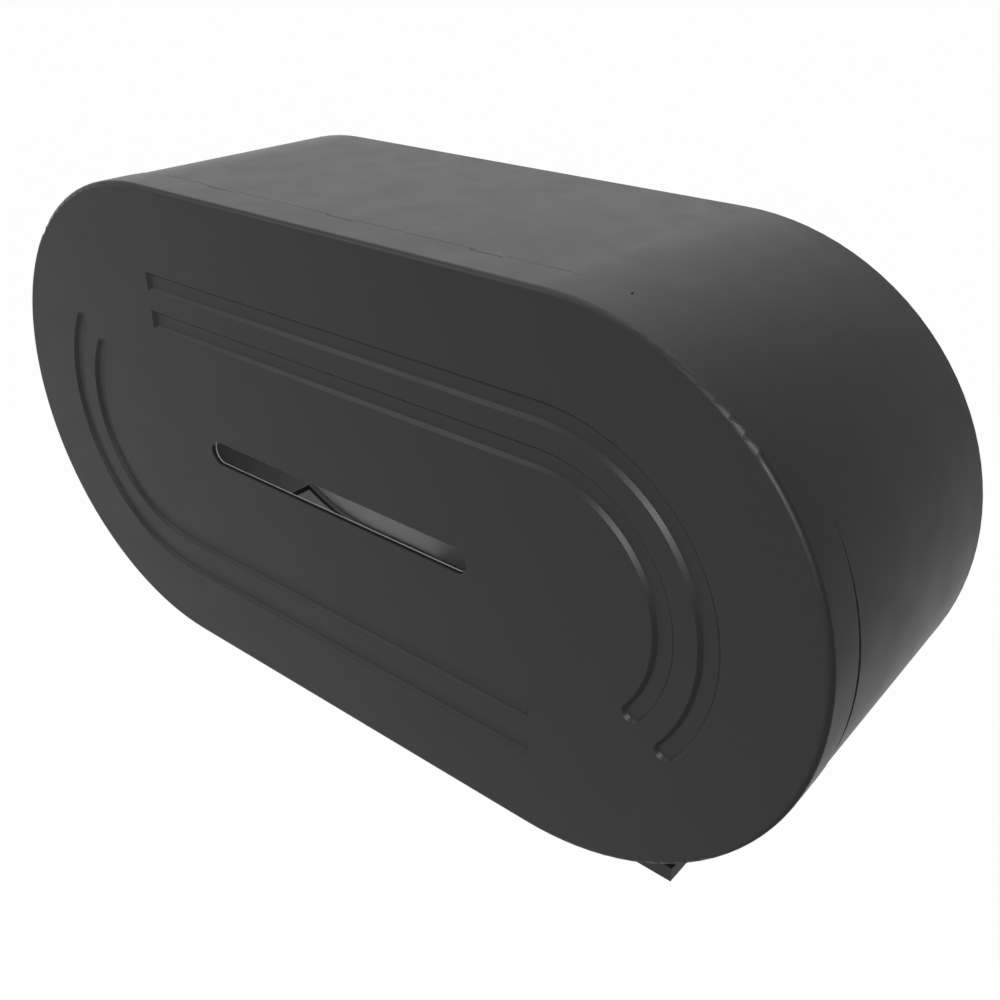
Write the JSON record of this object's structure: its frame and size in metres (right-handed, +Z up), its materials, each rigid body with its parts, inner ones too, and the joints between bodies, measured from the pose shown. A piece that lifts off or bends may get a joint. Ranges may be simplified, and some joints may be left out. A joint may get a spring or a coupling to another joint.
{
  "type": "twin-roll napkin dispenser",
  "caption": "Wall-hung napkin dispenser: a stadium-shaped cabinet with a hinged grooved cover, a window slot, roll spindles, a sliding outlet shutter and a cam lock.",
  "frame": {"origin": "centre of the wall face at the back of the cabinet", "axes": "+X to the right along the cabinet's length, +Y back into the wall, +Z up"},
  "size_m": [0.436, 0.13, 0.2431],
  "materials": {
    "cabinet": "fine matt moulded plastic, black",
    "inner_plate": "smooth light grey moulded plastic",
    "inner_moulding": "matt mid grey moulded plastic",
    "steel": "brushed stainless steel",
    "zinc": "bright zinc-plated steel",
    "lock_metal": "satin nickel-plated metal"
  },
  "bodies": {
    "case": {"rear_case": "cabinet", "mounting_plate": "inner_plate", "plate_screws": "zinc", "spindle_post_left": "inner_moulding", "spindle_post_right": "inner_moulding", "spindle_flange_screws": "zinc", "spindle_washers": "zinc", "spindle_end_screws": "zinc", "outlet_tray": "cabinet", "tray_screws": "zinc", "tear_bar_left": "steel", "tear_bar_right": "steel", "tear_bar_screws": "zinc", "hinge_rod": "steel", "lock_keeper": "zinc", "keeper_screws": "zinc"},
    "cover": {"front_cover": "cabinet", "lock_barrel": "lock_metal", "lock_nut": "lock_metal"},
    "lock": {"lock_plug": "lock_metal", "lock_cam": "zinc", "cam_screw": "zinc"},
    "hub_left": {"roll_hub_left": "inner_moulding"},
    "hub_right": {"roll_hub_right": "inner_moulding"},
    "shutter": {"selector_shutter": "cabinet", "shutter_grip": "cabinet"}
  },
  "joints": [
    {"name": "cover_hinge", "type": "hinge", "parent": "case", "child": "cover", "pos_m": [0, -0.1117, 0.1105], "axis": [-1, 0, 0], "range_deg": [0, 70]},
    {"name": "lock_turn", "type": "hinge", "parent": "cover", "child": "lock", "pos_m": [0, -0.12, -0.1125], "axis": [0, 0, 1], "range_deg": [0, 90]},
    {"name": "hub_spin_left", "type": "hinge", "parent": "case", "child": "hub_left", "pos_m": [-0.1055, -0.05, 0], "axis": [0, 1, 0], "continuous": true},
    {"name": "hub_spin_right", "type": "hinge", "parent": "case", "child": "hub_right", "pos_m": [0.1055, -0.05, 0], "axis": [0, 1, 0], "continuous": true},
    {"name": "shutter_slide", "type": "slide", "parent": "case", "child": "shutter", "axis": [1, 0, 0], "range_m": [-0.105, 0.105]}
  ]
}
